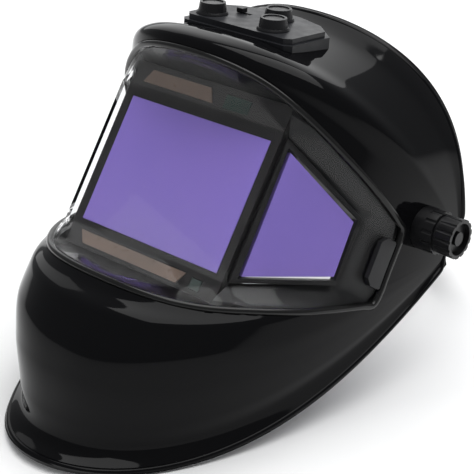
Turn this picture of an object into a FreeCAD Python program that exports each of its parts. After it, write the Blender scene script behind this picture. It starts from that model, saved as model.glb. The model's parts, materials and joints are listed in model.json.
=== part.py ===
import FreeCAD, Part
import math
import os

# Auto-darkening welding helmet: shell, panoramic filter, controls and headgear.
# Everything is drawn in the wearer's frame: +X the wearer's left, +Y back, +Z up,
# with the origin in the middle of the main filter's front face. stand() then tips
# the helmet back on its chin rim and its rear knob, the way it rests on a bench.

V = FreeCAD.Vector

# ---- driving dimensions, millimetres and degrees ----
REST_TILT = 35.4          # how far the helmet leans back when it stands
FLOOR_DROP = 144.5        # filter centre above the bench when standing
MIDDLE_Y = 66.1           # filter centre to the middle of the footprint

SHELL_WALL = 3.0
SHELL_ROWS = 41
SHELL_COLUMNS = 37
PIVOT_Y = 112.0
PIVOT_Z = 35.0

WINDOW_CENTRE_Y = 90.0    # point that the cover lens shrinks towards for its inner face
LENS_SHRINK = 0.980
SEAL_WIDTH = 3.6
PANE_HALF = 69.5
PANE_TOP = 50.0
PANE_BOTTOM = -47.5
PANE_Y = -3.0
SIDE_YAW = 62.4           # side panes turn back this far from the front pane
SIDE_LENGTH = 74.0

GLASS_HALF_X = 58.3
GLASS_HALF_Z = 43.0
GLASS_DEPTH = 5.0
FRAME_HALF_X = 65.0
FRAME_TOP = 67.0
FRAME_BOTTOM = -61.0
FRAME_DEPTH = 4.4
HOUSING_DEPTH = 14.0

PANEL_SLOPE = 30.0
PANEL_ORIGIN = V(0, 0.5, 106.0)
KNOB_PLACES = {"shade": (20.0, 10.0), "sensitivity": (-31.0, 10.0), "delay": (6.0, 32.0)}
KNOB_RADIUS = 9.8
KNOB_HEIGHT = 7.4
DIAL_SHAFT_RADIUS = 3.0
SWITCH_PLACE = (-20.5, 27.0)

BOLT_RADIUS = 4.0
RUNNING_GAP = 0.06
SIDE_KNOB_TIP = 142.5
SIDE_KNOB_BASE = 129.0
SIDE_KNOB_RADIUS = 13.2
BASE_RING_RADIUS = 14.4

BAND_CENTRE_Y = 160.0
BAND_HALF_X = 82.0
BAND_HALF_Y = 100.0
BAND_WALL = 2.2
BAND_HEIGHT = 30.0
BAND_FRONT_Z = 60.0
RATCHET_Z = 41.0
RATCHET_Y = 262.0
PITCH_RADIUS = 6.0
PINION_TEETH = 12
CROWN_TOP = 121.0         # inside of the strap over the head
STRAP_SHOULDER_Z = 66.0
STRAP_Y = 163.0
STRAP_BREADTH = 22.0
STRAP_THICKNESS = 2.0

# Shell sections. Each runs from the short rear edge over the front to the other
# side as a superellipse. Columns: place from chin rim to crown rim, nose Y and Z,
# roundness exponent, bow of the section out of its plane, rear edge Y and Z,
# half width, and how far the bow leans to the front.
SHELL_SECTIONS = [
    (0.00, -26.9, -188.3, 2.10, 22.6, 152.0, 20.0, 119.0, 0.86),
    (0.07, -17.5, -174.8, 2.08, 12.2, 151.0, 24.5, 117.0, 1.20),
    (0.13, -24.0, -160.0, 2.20, 10.0, 151.0, 25.5, 117.0, 0.80),
    (0.22, -38.0, -134.0, 2.35, 8.0, 151.0, 26.5, 117.0, 0.40),
    (0.30, -45.0, -110.0, 2.45, 7.0, 151.0, 27.5, 117.0, 0.30),
    (0.37, -44.0, -91.0, 2.45, 6.0, 151.0, 28.5, 117.0, 0.20),
    (0.42, -35.0, -77.0, 2.45, 5.0, 151.0, 30.0, 117.0, 0.0),
    (0.46, -30.0, -60.0, 2.40, 3.0, 151.0, 32.0, 117.0, 0.0),
    (0.57, -29.0, 5.0, 2.30, 0.0, 151.0, 36.0, 117.0, 0.0),
    (0.68, -31.0, 68.0, 2.30, -4.0, 151.0, 40.0, 117.0, 0.0),
    (0.74, -35.0, 82.0, 2.35, -5.0, 151.0, 42.0, 117.0, 0.0),
    (0.79, -26.0, 91.0, 2.50, -5.0, 151.0, 43.0, 117.0, 0.0),
    (0.86, 0.0, 101.0, 2.50, -5.0, 151.0, 44.0, 117.0, 0.0),
    (0.94, 51.0, 128.5, 2.45, -5.0, 151.0, 46.0, 117.0, 0.50),
    (1.00, 65.0, 143.2, 2.16, -9.1, 152.5, 50.5, 119.0, 1.50),
]

# Side view of the lens opening, Y and Z: top edge front to back, then bottom edge.
OPENING_TOP = [(-60, 84), (-34, 78), (-14, 72.5), (28, 54.6), (74, 37.3), (87, 32)]
OPENING_BOTTOM = [(83, -29.5), (59, -38.6), (14, -56), (-14, -67.6), (-33, -73.6), (-60, -80)]
OPENING_REAR_Y = 95.5
OPENING_CORNER = 9.0
EDGE_LEAN = 1.06          # edges lean back, so an inset moves them further up or down
EDGE_DEPTH = 1.5
EDGE_TOP = [(6, 64.9), (28, 54.8), (52, 45.2), (80, 35.0)]
EDGE_BOTTOM = [(2, -61.0), (28, -50.9), (52, -41.4), (76, -32.3)]
EDGE_TOP_FRONT = (78.3, 73.6)
EDGE_BOTTOM_FRONT = (-73.6, -69.5)


# ---- small helpers ----
def box(x0, x1, y0, y1, z0, z1):
    return Part.makeBox(x1 - x0, y1 - y0, z1 - z0, V(x0, y0, z0))


def rod(radius, start, end):
    axis = end - start
    return Part.makeCylinder(radius, axis.Length, start, axis)


def x_rod(radius, x0, x1, y=PIVOT_Y, z=PIVOT_Z):
    return rod(radius, V(x0, y, z), V(x1, y, z))


def prism(points, direction):
    face = Part.Face(Part.makePolygon(points + [points[0]]))
    return face.extrude(direction)


def spline_edge(points):
    curve = Part.BSplineCurve()
    curve.interpolate(points)
    return curve.toShape()


def mirrored(shape):
    return shape.mirror(V(0, 0, 0), V(1, 0, 0))


def both_sides(shape):
    return Part.makeCompound([shape, mirrored(shape)])


def largest(shape):
    return max(shape.Solids, key=lambda solid: solid.Volume)


def outermost(shape, direction):
    return max(shape.Solids, key=lambda solid: solid.CenterOfMass.dot(direction))


def stand(shape):
    turned = shape.copy()
    turned.rotate(V(0, 0, 0), V(1, 0, 0), -REST_TILT)
    turned.translate(V(0, -MIDDLE_Y, FLOOR_DROP))
    return turned


def save(node, shape):
    stand(shape).exportStep("parts/" + node + ".step")


# ---- shell surface ----
def smooth_through(places, values, place):
    """Monotone cubic value at a place between the listed ones."""
    steps = [b - a for a, b in zip(places, places[1:])]
    slopes = [(b - a) / h for a, b, h in zip(values, values[1:], steps)]
    tangents = [slopes[0]]
    for i in range(1, len(slopes)):
        before, after = slopes[i - 1], slopes[i]
        if before * after <= 0:
            tangents.append(0.0)
        else:
            w0 = 2 * steps[i] + steps[i - 1]
            w1 = steps[i] + 2 * steps[i - 1]
            tangents.append((w0 + w1) / (w0 / before + w1 / after))
    tangents.append(slopes[-1])
    i = max(k for k in range(len(steps)) if places[k] <= place or k == 0)
    h = steps[i]
    t = (place - places[i]) / h
    return ((1 + 2 * t) * (1 - t) ** 2 * values[i] + t * (1 - t) ** 2 * h * tangents[i]
            + t * t * (3 - 2 * t) * values[i + 1] + t * t * (t - 1) * h * tangents[i + 1])


def section_point(row, angle):
    nose_y, nose_z, power, bow, rear_y, rear_z, half_width, lean = row
    forward = max(math.cos(angle), 0.0) ** (2 / power)
    side = math.sin(angle) ** (2 / power)
    dy = nose_y - rear_y
    dz = nose_z - rear_z
    span = math.hypot(dy, dz)
    lift = bow * 4 * forward * (1 - forward) * (1 + lean * (forward - 0.5))
    return V(half_width * side, rear_y + dy * forward - dz / span * lift,
             rear_z + dz * forward + dy / span * lift)


def even_points(points, count):
    """The same polyline with points at even distances."""
    lengths = [0.0]
    for a, b in zip(points, points[1:]):
        lengths.append(lengths[-1] + a.distanceToPoint(b))
    out = []
    k = 0
    for i in range(count):
        target = lengths[-1] * i / (count - 1)
        while k < len(lengths) - 2 and lengths[k + 1] < target:
            k += 1
        share = (target - lengths[k]) / (lengths[k + 1] - lengths[k])
        out.append(points[k] + (points[k + 1] - points[k]) * share)
    return out


def shell_grid():
    places = [row[0] for row in SHELL_SECTIONS]
    columns = list(zip(*SHELL_SECTIONS))[1:]
    half = SHELL_COLUMNS // 2 + 1
    fine = 200
    grid = []
    for i in range(SHELL_ROWS):
        place = i / (SHELL_ROWS - 1)
        row = [smooth_through(places, column, place) for column in columns]
        right = [section_point(row, math.pi / 2 * k / fine) for k in range(fine + 1)]
        right = even_points(right, half)
        left = [V(-p.x, p.y, p.z) for p in reversed(right[1:])]
        grid.append(left + right)
    return grid


def offset_grid(grid, distance):
    rows = len(grid)
    columns = len(grid[0])
    out = []
    for i in range(rows):
        line = []
        for j in range(columns):
            across = grid[i][min(j + 1, columns - 1)] - grid[i][max(j - 1, 0)]
            along = grid[min(i + 1, rows - 1)][j] - grid[max(i - 1, 0)][j]
            normal = across.cross(along).normalize()
            line.append(grid[i][j] + normal * distance)
        out.append(line)
    return out


def skin(grid):
    surface = Part.BSplineSurface()
    surface.interpolate(grid)
    return surface


def shell_layer(grid, outer, inner):
    """Closed solid between two offsets of the shell surface."""
    faces = []
    skins = [skin(offset_grid(grid, outer)), skin(offset_grid(grid, inner))]
    for one in skins:
        faces.append(one.toShape())
    for first, second in zip(boundary(skins[0]), boundary(skins[1])):
        faces.append(Part.makeRuledSurface(first, second))
    shell = Part.makeShell(faces)
    shell.sewShape()
    solid = Part.makeSolid(shell)
    if solid.Volume < 0:
        solid.reverse()
    return solid


def boundary(surface):
    u0, u1, v0, v1 = surface.bounds()
    curves = [surface.uIso(u0), surface.uIso(u1), surface.vIso(v0), surface.vIso(v1)]
    return [curve.toShape() for curve in curves]


# ---- lens opening ----
def opening_wire(inset=0.0):
    """Side view of the opening, drawn smaller by the inset all round."""
    top = [V(0, y - inset * 0.4, z - inset * EDGE_LEAN) for y, z in OPENING_TOP]
    bottom = [V(0, y - inset * 0.4, z + inset * EDGE_LEAN) for y, z in OPENING_BOTTOM]
    rear_y = OPENING_REAR_Y - inset
    upper = V(0, rear_y, top[-1].z - OPENING_CORNER + inset * 0.4)
    lower = V(0, rear_y, bottom[0].z + OPENING_CORNER - inset * 0.4)
    upper_mid = V(0, rear_y - 1.9, top[-1].z - 2.4)
    lower_mid = V(0, rear_y - 2.3, bottom[0].z + 2.6)
    edges = [
        spline_edge(top),
        Part.Arc(top[-1], upper_mid, upper).toShape(),
        Part.makeLine(upper, lower),
        Part.Arc(lower, lower_mid, bottom[0]).toShape(),
        spline_edge(bottom),
        Part.makeLine(bottom[-1], top[0]),
    ]
    return Part.Wire(edges)


def opening_prism(inset=0.0):
    solid = Part.Face(opening_wire(inset)).extrude(V(300, 0, 0))
    solid.translate(V(-150, 0, 0))
    return solid


# ---- panel frame: X across, U up the slope, W out of the panel ----
def panel_vector(x, u, w):
    slope = math.radians(PANEL_SLOPE)
    return V(x, u * math.cos(slope) - w * math.sin(slope), u * math.sin(slope) + w * math.cos(slope))


def panel_point(x, u, w):
    return PANEL_ORIGIN + panel_vector(x, u, w)


def panel_prism(outline, w0, w1):
    points = [panel_point(x, u, w0) for x, u in outline]
    return prism(points, panel_vector(0, 0, w1 - w0))


def panel_box(x0, x1, u0, u1, w0, w1):
    return panel_prism([(x0, u0), (x1, u0), (x1, u1), (x0, u1)], w0, w1)


def panel_rod(radius, place, w0, w1):
    x, u = place
    return rod(radius, panel_point(x, u, w0), panel_point(x, u, w1))


# ---- side pane frame: S back along the pane, W outwards, Z up ----
def side_point(s, w, z):
    yaw = math.radians(SIDE_YAW)
    return V(PANE_HALF + s * math.cos(yaw) + w * math.sin(yaw),
             PANE_Y + s * math.sin(yaw) - w * math.cos(yaw), z)


def side_prism(outline, w0, w1):
    """Plate on the side pane: outline in S and Z, between two depths."""
    points = [side_point(s, w0, z) for s, z in outline]
    return prism(points, side_point(0, w1, 0) - side_point(0, w0, 0))


def closed_solid(faces):
    """Solid inside faces that meet edge to edge."""
    shell = Part.makeShell(faces)
    shell.sewShape()
    solid = Part.makeSolid(shell)
    if solid.Volume < 0:
        solid.reverse()
    return solid


# ---- shell body ----
def make_shell(blank):
    shape = blank.cut(opening_prism())
    bush_hole = x_rod(5.3, -150, 150)
    shape = shape.cut(bush_hole)
    for place in KNOB_PLACES.values():
        shape = shape.cut(panel_rod(DIAL_SHAFT_RADIUS + 0.5, place, -25, 5))
    x, u = SWITCH_PLACE
    shape = shape.cut(panel_box(x - 5, x + 10, u - 2, u + 2, -25, 5))
    return largest(shape)


def make_lens(outer_face):
    """Clear cover: flat front pane, two flat side panes, sloped bands and a flange."""
    top, bottom, rear = lens_outline(outer_face)
    corner_top = V(PANE_HALF, PANE_Y, PANE_TOP)
    corner_bottom = V(PANE_HALF, PANE_Y, PANE_BOTTOM)
    back_top = side_point(SIDE_LENGTH, 0, 25.5)
    back_bottom = side_point(SIDE_LENGTH, 0, -24.0)
    mirror = lambda p: V(-p.x, p.y, p.z)

    def flat(points):
        return Part.Face(Part.makePolygon(points + [points[0]]))

    def crescent(corner, crest):
        arc = Part.Arc(mirror(corner), crest, corner).toShape()
        line = Part.makeLine(corner, mirror(corner))
        return Part.Face(Part.Wire([arc, line])), arc

    top_band, top_crease = crescent(corner_top, V(0, -22, 72))
    bottom_band, bottom_crease = crescent(corner_bottom, V(0, -22, -67))
    faces = [flat([corner_top, corner_bottom, mirror(corner_bottom), mirror(corner_top)]),
             top_band, bottom_band]
    rims = []
    for side in (lambda p: p, mirror):
        faces.append(flat([side(p) for p in (corner_top, back_top, back_bottom, corner_bottom)]))
        for first, second, line in ((corner_top, back_top, top[1]),
                                    (back_top, back_bottom, rear),
                                    (corner_bottom, back_bottom, bottom[1])):
            rim = spline_edge([side(p) for p in line])
            faces.append(Part.makeRuledSurface(Part.makeLine(side(first), side(second)), rim))
            rims.append(rim)
    for crease, line in ((top_crease, top[0]), (bottom_crease, bottom[0])):
        rim = spline_edge(line)
        faces.append(Part.makeRuledSurface(crease, rim))
        rims.append(rim)
    centre = V(0, WINDOW_CENTRE_Y, 0)

    def shrunk(shape):
        copy = shape.copy()
        copy.scale(LENS_SHRINK, centre)
        return copy

    walls = [Part.makeRuledSurface(rim, shrunk(rim)) for rim in rims]
    return closed_solid(faces + [shrunk(face) for face in faces] + walls)


def across(face, y, z):
    """Point just under the shell's outer surface on the wearer's left, seen from the side."""
    hit = face.section(Part.makeLine(V(1, y, z), V(160, y, z))).Vertexes[0].Point
    return V(hit.x - EDGE_DEPTH, y, z)


def ahead(face, x, z):
    """Point just under the shell's outer surface, seen from the front."""
    hits = face.section(Part.makeLine(V(x, -100, z), V(x, 60, z))).Vertexes
    return V(x, min(v.Point.y for v in hits) + EDGE_DEPTH, z)


def front_line(face, edge, outset):
    """Upper or lower front edge of the opening, moved out from its middle."""
    middle, corner = edge
    grow = outset * math.copysign(1, middle)
    right = [ahead(face, x, middle + (corner - middle) * (x / 60.0) ** 2 + grow) for x in (15, 30, 45, 60)]
    return [mirror_x(p) for p in reversed(right)] + [ahead(face, 0.01, middle + grow)] + right


def side_line(face, edge, outset):
    """Upper or lower side edge of the opening, from front to back."""
    return [across(face, y, z + outset * math.copysign(1, z)) for y, z in edge]


def lens_outline(face):
    """Lens edge just inside the seal: front and side stretches above and below, and the rear."""
    top_side = side_line(face, EDGE_TOP, -SEAL_WIDTH * 1.5)
    bottom_side = side_line(face, EDGE_BOTTOM, -SEAL_WIDTH * 1.5)
    top_front = front_line(face, EDGE_TOP_FRONT, -SEAL_WIDTH * 1.2)
    bottom_front = front_line(face, EDGE_BOTTOM_FRONT, -SEAL_WIDTH * 1.2)
    top_front = [mirror_x(top_side[0])] + top_front + [top_side[0]]
    bottom_front = [mirror_x(bottom_side[0])] + bottom_front + [bottom_side[0]]
    edge_y = OPENING_REAR_Y - SEAL_WIDTH - 0.5
    rear = [across(face, y, z) for y, z in ((edge_y - 2.5, 24.5), (edge_y, 16), (edge_y, 1),
                                            (edge_y, -12), (edge_y - 4, -20))]
    rear = [top_side[-1]] + rear + [bottom_side[-1]]
    return (top_front, top_side), (bottom_front, bottom_side), rear


def make_surround(face, wall, rim_zone):
    """Light-tight frame that closes the space between the cartridge and the shell."""
    outset = 2.8
    depth = V(0, 2.4, 0)
    edge_x = FRAME_HALF_X + 0.3
    top_front = front_line(face, EDGE_TOP_FRONT, outset)
    bottom_front = front_line(face, EDGE_BOTTOM_FRONT, outset)
    top_side = side_line(face, EDGE_TOP, outset)
    bottom_side = side_line(face, EDGE_BOTTOM, outset)
    rear_y = OPENING_REAR_Y + 4.0
    rear = [across(face, y, z) for y, z in ((rear_y - 3, 31), (rear_y, 18), (rear_y, -13), (rear_y - 3, -25))]
    rear = [top_side[-1]] + rear + [bottom_side[-1]]
    corners = [V(edge_x, 6, FRAME_TOP + 0.3), V(edge_x, 6, 48.3), side_point(73.8, -10.4, 22.7),
               side_point(73.8, -10.4, -22.3), V(edge_x, 6, -45.8), V(edge_x, 6, FRAME_BOTTOM - 0.3)]

    def slab(start, end, rim):
        return Part.makeRuledSurface(Part.makeLine(start, end), spline_edge(rim)).extrude(depth)

    def cheek(front, back, rim):
        first, second, third, fourth = rim
        return [prism(corner, depth) for corner in ([front, first, second], [front, second, back],
                                                    [back, second, third], [back, third, fourth])]

    top_rim = [top_front[-1], ahead(face, 66, 74.0), ahead(face, 72, 71.2), top_side[0]]
    bottom_rim = [bottom_front[-1], ahead(face, 67, -69.8), ahead(face, 75, -66.8), bottom_side[0]]
    left = cheek(corners[0], corners[1], top_rim)
    left.append(slab(corners[1], corners[2], top_side))
    left.append(slab(corners[2], corners[3], rear))
    left.append(slab(corners[3], corners[4], bottom_side[::-1]))
    left += cheek(corners[5], corners[4], bottom_rim)[::-1]
    right = [mirrored(piece) for piece in reversed(left)]
    solid = slab(mirror_x(corners[0]), corners[0], top_front)
    for piece in left + [slab(mirror_x(corners[5]), corners[5], bottom_front)] + right:
        solid = solid.fuse(piece)
    return largest(solid.cut(wall).cut(rim_zone))


def mirror_x(point):
    return V(-point.x, point.y, point.z)


def latch_outline(grow):
    """Clipped rectangle of the release tab in the side view, Y and Z."""
    y0, y1, z0, z1, clip = 77.0, 90.0, -14.0, 18.0, 4.0
    y0, y1, z0, z1 = y0 - grow, y1 + grow, z0 - grow, z1 + grow
    corners = [(y0 + clip, z0), (y1 - 1, z0), (y1, z0 + 1), (y1, z1 - 1), (y1 - 1, z1),
               (y0 + clip, z1), (y0, z1 - clip), (y0, z0 + clip)]
    return prism([V(60, y, z) for y, z in corners], V(80, 0, 0))


# ---- filter cartridge ----
def strip(x0, x1, z0, z1, y0, y1, slant):
    """Solar strip with slanted ends, narrower away from the glass."""
    outline = [(x0 + slant, z0), (x1 - slant, z0), (x1, z1), (x0, z1)]
    return prism([V(x, y0, z) for x, z in outline], V(0, y1 - y0, 0))


SIDE_GLASS = [(9.2, 40.8), (68.0, 18.5), (69.8, -17.4), (10.6, -39.1)]
SIDE_GLASS_FACE = -4.5
UPPER_STRIP = (-55.0, 5.0, 54.0, 63.0)
LOWER_STRIP = (-55.0, 37.0, -58.0, -50.0)
UPPER_SENSOR = (14.0, 34.0, 53.0, 62.0)
LOWER_SENSOR = (43.0, 51.0, -58.0, -51.0)


def grown(outline, amount):
    centre_s = sum(s for s, z in outline) / len(outline)
    centre_z = sum(z for s, z in outline) / len(outline)
    return [(s + math.copysign(amount, s - centre_s), z + math.copysign(amount, z - centre_z))
            for s, z in outline]


def upper_cell(grow=0.0):
    x0, x1, z0, z1 = UPPER_STRIP
    return strip(x0 - grow, x1 + grow, z1 + grow, z0 - grow, -0.2, 1.0 + grow, 5.0)


def lower_cell(grow=0.0):
    x0, x1, z0, z1 = LOWER_STRIP
    return strip(x0 - grow, x1 + grow, z0 - grow, z1 + grow, -0.2, 1.0 + grow, 5.0)


def sensor_blocks(grow=0.0):
    blocks = []
    for x0, x1, z0, z1 in (UPPER_SENSOR, LOWER_SENSOR):
        blocks.append(box(x0 - grow, x1 + grow, -0.3, 2.0 + grow, z0 - grow, z1 + grow))
    return Part.makeCompound(blocks)


def make_front_frame():
    frame = box(-FRAME_HALF_X, FRAME_HALF_X, 0.0, FRAME_DEPTH, FRAME_BOTTOM, FRAME_TOP)
    window = GLASS_HALF_X + 0.1
    frame = frame.cut(box(-window, window, -1, 9, -GLASS_HALF_Z - 0.1, GLASS_HALF_Z + 0.1))
    for piece in (upper_cell(0.15), lower_cell(0.15), sensor_blocks(0.15)):
        frame = frame.cut(piece)
    return frame


def make_rear_housing():
    y0 = FRAME_DEPTH + 0.05
    housing = box(-FRAME_HALF_X, FRAME_HALF_X, y0, HOUSING_DEPTH, FRAME_BOTTOM, FRAME_TOP)
    housing = housing.cut(box(-56, 56, 0, 20, -41, 41))
    housing = housing.cut(box(-58.4, 58.4, 0, GLASS_DEPTH + 0.3, -43.1, 43.1))
    housing = housing.cut(box(-62, 62, 0, 11.5, 44.5, 65))
    return housing.cut(box(-62, 62, 0, 11.5, -59, -44.5))


def make_side_wing():
    outer = [(4.0, 48.0), (73.5, 22.5), (73.5, -22.0), (4.0, -45.5)]
    wing = side_prism(outer, SIDE_GLASS_FACE - 7.0, SIDE_GLASS_FACE + 0.2)
    pocket = side_prism(grown(SIDE_GLASS, 0.1), SIDE_GLASS_FACE - 4.2, SIDE_GLASS_FACE + 3)
    through = side_prism(grown(SIDE_GLASS, -2.0), SIDE_GLASS_FACE - 12, SIDE_GLASS_FACE + 3)
    wing = wing.cut(pocket).cut(through)
    return largest(wing.cut(box(0, FRAME_HALF_X + 0.1, -20, HOUSING_DEPTH + 0.1, -90, 90)))


# ---- controls ----
def panel_outline(grow=0.0):
    half = [(0, -3), (39, -3), (43, 1), (43.5, 33), (33, 42), (12, 49), (0, 50)]
    right = [(x + (grow if x else 0), u + (grow if u > 20 else -grow)) for x, u in half]
    return right + [(-x, u) for x, u in reversed(right[1:-1])]


def make_panel(wall):
    up = panel_vector(0, 0, 1)
    plateau = outermost(panel_prism(panel_outline(), -16, 0).cut(wall), up)
    step = panel_prism(panel_outline(2.2), -16, -3.6).cut(wall)
    skirts = [piece for piece in step.Solids if piece.CenterOfMass.dot(up) > PANEL_ORIGIN.dot(up) - 8.5]
    solid = plateau.fuse(skirts)
    for place in KNOB_PLACES.values():
        solid = solid.cut(panel_rod(DIAL_SHAFT_RADIUS + 0.4, place, -16, 2))
    x, u = SWITCH_PLACE
    return solid.cut(panel_box(x - 3.2, x + 8.2, u - 1.6, u + 1.6, -16, 2))


def make_tray(wall):
    outer = panel_box(-42, 42, 1, 40, -31, -4)
    hollow = panel_box(-40, 40, 3, 38, -29, 0)
    tray = outer.cut(hollow).cut(wall)
    return largest(tray.cut(panel_box(-29, 29, 7, 34, -32, -28)))


def make_dial_knob(place):
    x, u = place
    base = panel_point(x, u, 0.3)
    out = panel_vector(0, 0, 1)
    body = Part.makeCone(KNOB_RADIUS - 0.3, KNOB_RADIUS - 1.4, KNOB_HEIGHT, base, out)
    body = body.cut(Part.makeCylinder(KNOB_RADIUS - 3.0, 1.2, base + out * (KNOB_HEIGHT - 0.7), out))
    flutes = 18
    for i in range(flutes):
        turn = 2 * math.pi * i / flutes
        spot = panel_point(x + KNOB_RADIUS * math.cos(turn), u + KNOB_RADIUS * math.sin(turn), 2.4)
        body = body.cut(Part.makeCylinder(0.75, KNOB_HEIGHT, spot, out))
    body = body.fuse(Part.makeCone(KNOB_RADIUS + 0.7, KNOB_RADIUS, 1.4, base, out))
    return body.cut(Part.makeCylinder(DIAL_SHAFT_RADIUS, KNOB_HEIGHT - 2.5, base, out))


def make_dial_shaft(place):
    return panel_rod(DIAL_SHAFT_RADIUS, place, -12.6, KNOB_HEIGHT - 2.4)


def make_switch_slider():
    x, u = SWITCH_PLACE
    thumb = panel_box(x - 2.6, x + 2.6, u - 2.6, u + 2.6, 0.3, 3.4)
    thumb = thumb.makeFillet(0.5, thumb.Edges)
    return thumb.fuse(panel_box(x - 1.6, x + 1.6, u - 1.1, u + 1.1, -12.0, 1))


# ---- pivots ----
def make_bush(wall):
    flange = outermost(x_rod(10, 106, 118).cut(wall), V(-1, 0, 0))
    bush = flange.fuse(x_rod(5.2, 106, 116.8))
    return bush.cut(x_rod(BOLT_RADIUS + RUNNING_GAP, 100, 120))


def make_base_ring(wall):
    ring = x_rod(BASE_RING_RADIUS, 108, SIDE_KNOB_BASE).cut(wall)
    ring = outermost(ring, V(1, 0, 0))
    ring = ring.cut(x_rod(5.6, 100, 117.3)).cut(x_rod(BOLT_RADIUS + RUNNING_GAP, 100, 140))
    notches = 12
    reach = BASE_RING_RADIUS + 1.0
    for i in range(notches):
        turn = 2 * math.pi * (i + 0.5) / notches
        y = PIVOT_Y + reach * math.cos(turn)
        z = PIVOT_Z + reach * math.sin(turn)
        ring = ring.cut(x_rod(1.8, 121.5, SIDE_KNOB_BASE + 1, y, z))
    return ring


def make_side_knob():
    """Fluted nut with a dished end and a boss inside the dish."""
    start = SIDE_KNOB_BASE + 0.3
    dish = SIDE_KNOB_TIP - 3.5
    knob = Part.makeCone(SIDE_KNOB_RADIUS - 0.7, SIDE_KNOB_RADIUS, SIDE_KNOB_TIP - start,
                         V(start, PIVOT_Y, PIVOT_Z), V(1, 0, 0))
    knob = knob.cut(x_rod(SIDE_KNOB_RADIUS - 2.6, dish, SIDE_KNOB_TIP + 1))
    knob = knob.fuse(x_rod(4.6, dish - 1, SIDE_KNOB_TIP - 1.0))
    flutes = 14
    reach = SIDE_KNOB_RADIUS + 0.5
    for i in range(flutes):
        turn = 2 * math.pi * i / flutes
        y = PIVOT_Y + reach * math.cos(turn)
        z = PIVOT_Z + reach * math.sin(turn)
        knob = knob.cut(x_rod(1.4, start + 1.5, SIDE_KNOB_TIP + 1, y, z))
    return knob.cut(x_rod(BOLT_RADIUS + RUNNING_GAP, start - 1, dish - 1.4))


def make_pivot_bolt():
    hexagon = [V(82.5, PIVOT_Y + 7 * math.cos(math.pi / 3 * i), PIVOT_Z + 7 * math.sin(math.pi / 3 * i))
               for i in range(6)]
    head = prism(hexagon, V(5.3, 0, 0))
    return head.fuse(x_rod(BOLT_RADIUS, 87.8, SIDE_KNOB_TIP - 5.2))


def make_side_arm(band_solid):
    plate = x_rod(17, 88, 91)
    link_y, link_z = 140.0, 56.0
    tip = x_rod(11, 88, 91, link_y, link_z)
    dy, dz = link_y - PIVOT_Y, link_z - PIVOT_Z
    span = math.hypot(dy, dz)
    ny, nz = -dz / span, dy / span
    bar = prism([V(88, PIVOT_Y + ny * 15, PIVOT_Z + nz * 15), V(88, link_y + ny * 11, link_z + nz * 11),
                 V(88, link_y - ny * 11, link_z - nz * 11), V(88, PIVOT_Y - ny * 15, PIVOT_Z - nz * 15)],
                V(3, 0, 0))
    foot = box(70, 88.5, link_y - 8, link_y + 8, link_z - 7, link_z + 7)
    arm = plate.fuse([tip, bar, foot.cut(band_solid)])
    return arm.cut(x_rod(BOLT_RADIUS + 0.02, 80, 95))


def make_angle_plate():
    plate = x_rod(14, 91.3, 93.3)
    for i in range(5):
        turn = math.radians(50 + 20 * i)
        y = PIVOT_Y + 10.5 * math.cos(turn)
        z = PIVOT_Z + 10.5 * math.sin(turn)
        plate = plate.cut(x_rod(1.3, 90, 95, y, z))
    return plate.cut(x_rod(BOLT_RADIUS + 0.02, 90, 95))


# ---- headgear ----
def band_curve(grow, z):
    """Plan outline of the head, rounder in front than behind."""
    points = []
    count = 64
    for i in range(count):
        turn = 2 * math.pi * i / count
        power = 2 / (2.3 if math.sin(turn) < 0 else 3.0)
        c, s = math.cos(turn), math.sin(turn)
        x = (BAND_HALF_X + grow) * math.copysign(abs(c) ** power, c)
        y = (BAND_HALF_Y + grow) * math.copysign(abs(s) ** power, s)
        points.append(V(x, BAND_CENTRE_Y + y, z))
    curve = Part.BSplineCurve()
    curve.interpolate(points, True)
    return Part.Wire(curve.toShape())


def head_prism(grow, z0, z1):
    return Part.Face(band_curve(grow, z0)).extrude(V(0, 0, z1 - z0))


def band_layer(outer, inner):
    return head_prism(outer, -40, 160).cut(head_prism(inner, -41, 161))


def band_slab(height):
    """Leaning slab that cuts the band to its height."""
    drop = (BAND_FRONT_Z - RATCHET_Z) / (RATCHET_Y - 60.0)
    front = BAND_FRONT_Z + drop * 60.0
    rear = BAND_FRONT_Z - drop * 260.0
    points = [V(-130, -0.0, front - height / 2), V(-130, 320, rear - height / 2),
              V(-130, 320, rear + height / 2), V(-130, -0.0, front + height / 2)]
    return prism(points, V(260, 0, 0))


def make_headband():
    band = band_layer(BAND_WALL, 0.0).common(band_slab(BAND_HEIGHT))
    gap = box(-36, 36, 200, 300, -40, 160)
    return band.cut(gap)


def make_sweatband():
    pad = band_layer(-0.4, -7.4).common(band_slab(BAND_HEIGHT + 6))
    return pad.common(box(-100, 100, 0, 112, -40, 160))


def make_rear_pad():
    pad = band_layer(-0.4, -8.4).common(box(-44, 44, 200, 300, RATCHET_Z - 15, RATCHET_Z + 15))
    return pad


def crown_strap(extra_rise, x0, x1):
    """Half of the strap over the head: an upright leg outside the band, then an arch."""
    half, rise = 84.6, CROWN_TOP - STRAP_SHOULDER_Z + extra_rise
    y0 = STRAP_Y - STRAP_BREADTH / 2

    def arch(extra):
        ellipse = Part.Ellipse(V(0, y0, STRAP_SHOULDER_Z), half + extra, rise + extra)
        ellipse.Axis = V(0, -1, 0)
        face = Part.Face(Part.Wire(ellipse.toShape()))
        top = face.extrude(V(0, STRAP_BREADTH, 0))
        leg = box(-half - extra, half + extra, y0, y0 + STRAP_BREADTH, 20, STRAP_SHOULDER_Z)
        return top.fuse(leg)

    solid = arch(STRAP_THICKNESS).cut(arch(0.0))
    solid = solid.common(box(x0, x1, 100, 200, 42.0, 200))
    for x in (-9, 9):
        solid = solid.cut(rod(3.1, V(x, STRAP_Y, 110), V(x, STRAP_Y, 150)))
    return solid


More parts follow.
